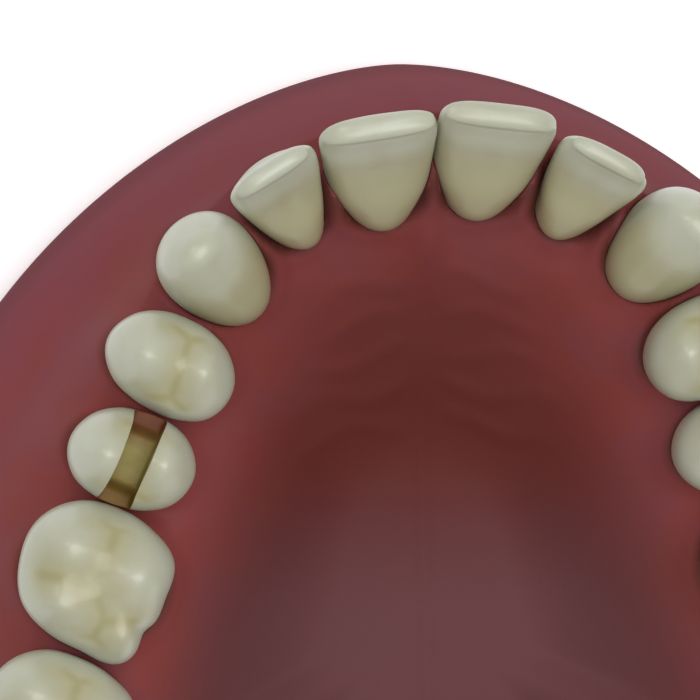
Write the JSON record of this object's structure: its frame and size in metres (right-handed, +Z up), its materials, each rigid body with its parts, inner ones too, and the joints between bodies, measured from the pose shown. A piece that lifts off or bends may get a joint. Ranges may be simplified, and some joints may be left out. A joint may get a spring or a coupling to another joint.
{
  "type": "typodont upper jaw",
  "caption": "Upper jaw teaching model: soft pink gum with palate over a rigid base, with screw-held removable ivory teeth, one with a cavity cut through it.",
  "frame": {"origin": "middle of the resting face under the base, at the centre of the jaw's width and length", "axes": "+Z up towards the biting surfaces, -Y towards the front teeth, +X towards the patient's right side of the arch"},
  "size_m": [0.076, 0.056, 0.0281],
  "materials": {
    "gum": "glossy soft gum",
    "base_resin": "moulded resin",
    "plate_steel": "brushed",
    "screw_steel": "plated",
    "brass": "turned",
    "tooth_enamel": "glossy ivory resin"
  },
  "bodies": {
    "jaw": {"gingiva": "gum", "jaw_base": "base_resin", "mounting_plate": "plate_steel", "plate_screws": "screw_steel", "threaded_bush": "brass", "tooth_screws": "screw_steel"},
    "right_central_incisor_tooth": {"right_central_incisor": "tooth_enamel"},
    "right_lateral_incisor_tooth": {"right_lateral_incisor": "tooth_enamel"},
    "right_canine_tooth": {"right_canine": "tooth_enamel"},
    "right_first_premolar_tooth": {"right_first_premolar": "tooth_enamel"},
    "right_second_premolar_tooth": {"right_second_premolar": "tooth_enamel"},
    "right_first_molar_tooth": {"right_first_molar": "tooth_enamel"},
    "right_second_molar_tooth": {"right_second_molar": "tooth_enamel"},
    "left_central_incisor_tooth": {"left_central_incisor": "tooth_enamel"},
    "left_lateral_incisor_tooth": {"left_lateral_incisor": "tooth_enamel"},
    "left_canine_tooth": {"left_canine": "tooth_enamel"},
    "left_first_premolar_tooth": {"left_first_premolar": "tooth_enamel"},
    "left_second_premolar_tooth": {"left_second_premolar": "tooth_enamel"},
    "left_first_molar_tooth": {"left_first_molar": "tooth_enamel"},
    "left_second_molar_tooth": {"left_second_molar": "tooth_enamel"}
  },
  "joints": [
    {"name": "right_central_incisor_pull", "type": "slide", "parent": "jaw", "child": "right_central_incisor_tooth", "axis": [0.0543, -0.2358, 0.9703], "range_m": [0, 0.014]},
    {"name": "right_lateral_incisor_pull", "type": "slide", "parent": "jaw", "child": "right_lateral_incisor_tooth", "axis": [0.1333, -0.1812, 0.9744], "range_m": [0, 0.014]},
    {"name": "right_canine_pull", "type": "slide", "parent": "jaw", "child": "right_canine_tooth", "axis": [0.1187, -0.0727, 0.9903], "range_m": [0, 0.014]},
    {"name": "right_first_premolar_pull", "type": "slide", "parent": "jaw", "child": "right_first_premolar_tooth", "axis": [0.05, -0.0153, 0.9986], "range_m": [0, 0.014]},
    {"name": "right_second_premolar_pull", "type": "slide", "parent": "jaw", "child": "right_second_premolar_tooth", "axis": [0.0334, -0.0102, 0.9994], "range_m": [0, 0.014]},
    {"name": "right_first_molar_pull", "type": "slide", "parent": "jaw", "child": "right_first_molar_tooth", "axis": [0.0334, -0.0102, 0.9994], "range_m": [0, 0.014]},
    {"name": "right_second_molar_pull", "type": "slide", "parent": "jaw", "child": "right_second_molar_tooth", "axis": [0.0334, -0.0102, 0.9994], "range_m": [0, 0.014]},
    {"name": "left_central_incisor_pull", "type": "slide", "parent": "jaw", "child": "left_central_incisor_tooth", "axis": [-0.0543, -0.2358, 0.9703], "range_m": [0, 0.014]},
    {"name": "left_lateral_incisor_pull", "type": "slide", "parent": "jaw", "child": "left_lateral_incisor_tooth", "axis": [-0.1333, -0.1812, 0.9744], "range_m": [0, 0.014]},
    {"name": "left_canine_pull", "type": "slide", "parent": "jaw", "child": "left_canine_tooth", "axis": [-0.1187, -0.0727, 0.9903], "range_m": [0, 0.014]},
    {"name": "left_first_premolar_pull", "type": "slide", "parent": "jaw", "child": "left_first_premolar_tooth", "axis": [-0.05, -0.0153, 0.9986], "range_m": [0, 0.014]},
    {"name": "left_second_premolar_pull", "type": "slide", "parent": "jaw", "child": "left_second_premolar_tooth", "axis": [-0.0334, -0.0102, 0.9994], "range_m": [0, 0.014]},
    {"name": "left_first_molar_pull", "type": "slide", "parent": "jaw", "child": "left_first_molar_tooth", "axis": [-0.0334, -0.0102, 0.9994], "range_m": [0, 0.014]},
    {"name": "left_second_molar_pull", "type": "slide", "parent": "jaw", "child": "left_second_molar_tooth", "axis": [-0.0334, -0.0102, 0.9994], "range_m": [0, 0.014]}
  ]
}
